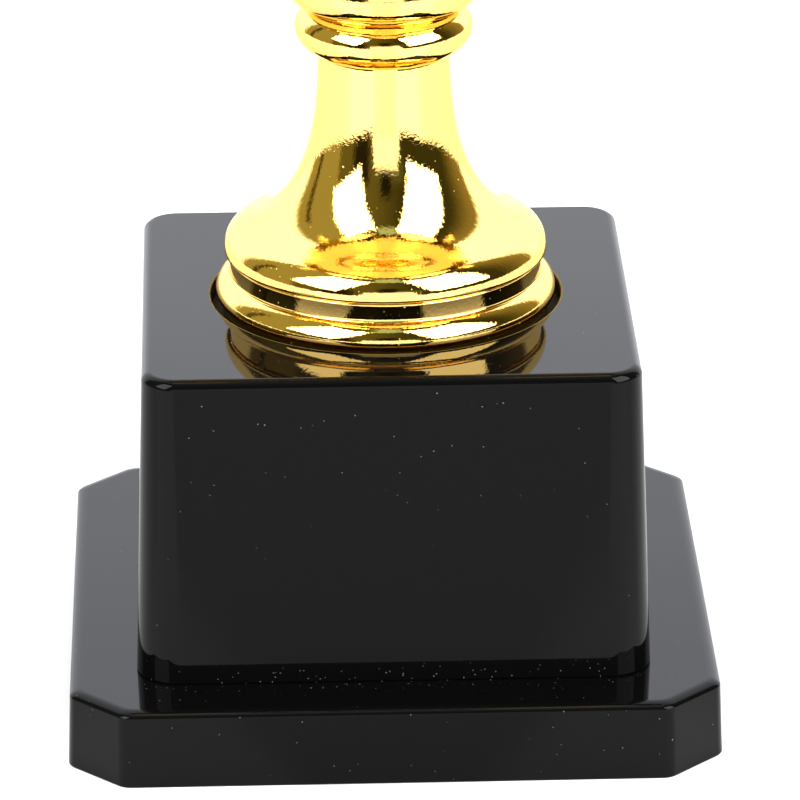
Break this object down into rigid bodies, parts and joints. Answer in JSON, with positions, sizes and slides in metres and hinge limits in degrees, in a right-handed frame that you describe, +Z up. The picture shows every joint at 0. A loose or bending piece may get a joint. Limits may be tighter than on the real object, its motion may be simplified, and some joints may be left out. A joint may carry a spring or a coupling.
{
  "type": "column trophy",
  "caption": "Award cup with two looped handles on a flared bright gold column, standing on a two-tier square base of gloss black plastic.",
  "frame": {"origin": "centre of the base's underside, on the surface that it stands on", "axes": "+Z up the column's axis, handles along +X and -X, and -Y towards the viewer who faces the front of the base"},
  "size_m": [0.1322, 0.093, 0.1674],
  "materials": {
    "black_gloss": "mirror gloss moulded, with fine dust and rub marks",
    "black_matte": "plain moulded",
    "felt": "thin self-adhesive felt",
    "ballast": "as cast",
    "gold_bright": "mirror-bright gold metallising over moulded plastic, with slight ripple",
    "steel": "zinc plated"
  },
  "bodies": {
    "root": {"plinth_shell": "black_gloss", "block_shell": "black_gloss", "bottom_cover": "black_matte", "base_pad": "felt", "ballast_disc": "ballast", "foot_ring": "gold_bright", "bell_column": "gold_bright", "neck_bead": "gold_bright", "cup_knop": "gold_bright", "cup_bowl": "gold_bright", "left_handle": "gold_bright", "right_handle": "gold_bright", "cover_screws": "steel", "block_screws": "steel", "ballast_screws": "steel", "handle_screws": "steel", "tie_rod": "steel", "rod_nut": "steel", "lock_washer": "steel", "rod_washer": "steel", "bowl_washer": "steel", "cap_nut": "steel"}
  },
  "joints": []
}
